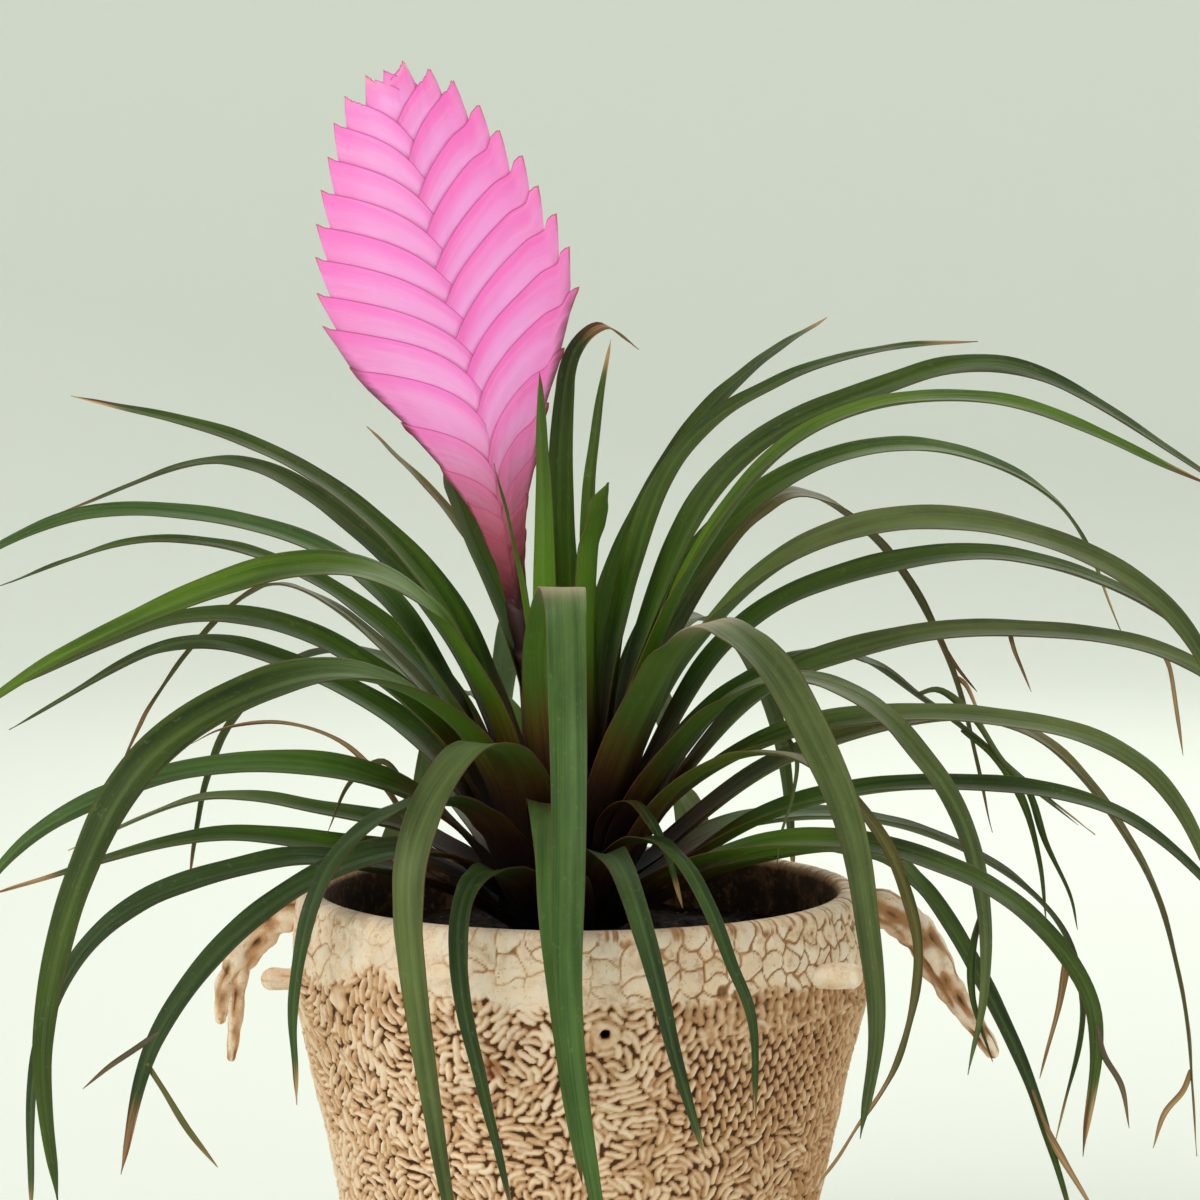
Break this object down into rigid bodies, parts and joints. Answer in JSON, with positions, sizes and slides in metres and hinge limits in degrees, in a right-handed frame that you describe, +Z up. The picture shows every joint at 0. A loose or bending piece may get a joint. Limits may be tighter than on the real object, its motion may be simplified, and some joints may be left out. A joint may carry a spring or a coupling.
{
  "type": "potted plant",
  "caption": "Pink quill plant with a flat pink herringbone flower spike over a fountain of arching narrow leaves, in a round cast pot with a knotted relief and drooping arms.",
  "frame": {"origin": "centre of the pot's flat foot, on the ground", "axes": "+Z up, +X to the plant's right; the broad side of the flower spike looks along -Y"},
  "size_m": [0.3374, 0.2649, 0.3377],
  "materials": {
    "cast": "matt, pale tan with darker grooves",
    "soil": "rough, dark, crumbly",
    "crown": "satin, dark brown",
    "leaf": "waxy, satin",
    "stalk": "satin",
    "pink": "satin, papery"
  },
  "bodies": {
    "root": {"pot": "cast", "soil": "soil", "crown": "crown", "leaf_left_1": "leaf", "leaf_left_2": "leaf", "leaf_left_3": "leaf", "leaf_left_4": "leaf", "leaf_left_5": "leaf", "leaf_left_6": "leaf", "leaf_left_7": "leaf", "leaf_left_8": "leaf", "leaf_left_9": "leaf", "leaf_left_10": "leaf", "leaf_left_11": "leaf", "leaf_left_12": "leaf", "leaf_left_13": "leaf", "leaf_left_14": "leaf", "leaf_left_15": "leaf", "leaf_right_1": "leaf", "leaf_right_2": "leaf", "leaf_right_3": "leaf", "leaf_right_4": "leaf", "leaf_right_5": "leaf", "leaf_right_6": "leaf", "leaf_right_7": "leaf", "leaf_right_8": "leaf", "leaf_right_9": "leaf", "leaf_right_10": "leaf", "leaf_right_11": "leaf", "leaf_right_12": "leaf", "leaf_right_13": "leaf", "leaf_right_14": "leaf", "leaf_right_15": "leaf", "leaf_right_16": "leaf", "leaf_centre_1": "leaf", "leaf_centre_2": "leaf", "leaf_centre_3": "leaf", "leaf_centre_4": "leaf", "leaf_centre_5": "leaf", "leaf_centre_6": "leaf", "leaf_front_1": "leaf", "leaf_front_2": "leaf", "leaf_front_3": "leaf", "leaf_front_4": "leaf", "leaf_front_5": "leaf", "leaf_front_6": "leaf", "leaf_front_7": "leaf", "leaf_front_8": "leaf", "leaf_front_9": "leaf", "leaf_front_10": "leaf", "leaf_front_11": "leaf", "leaf_rear_1": "leaf", "leaf_rear_2": "leaf", "leaf_rear_3": "leaf", "leaf_rear_4": "leaf", "leaf_rear_5": "leaf", "leaf_rear_6": "leaf", "leaf_rear_7": "leaf", "flower_stalk": "stalk", "quill": "pink"}
  },
  "joints": []
}
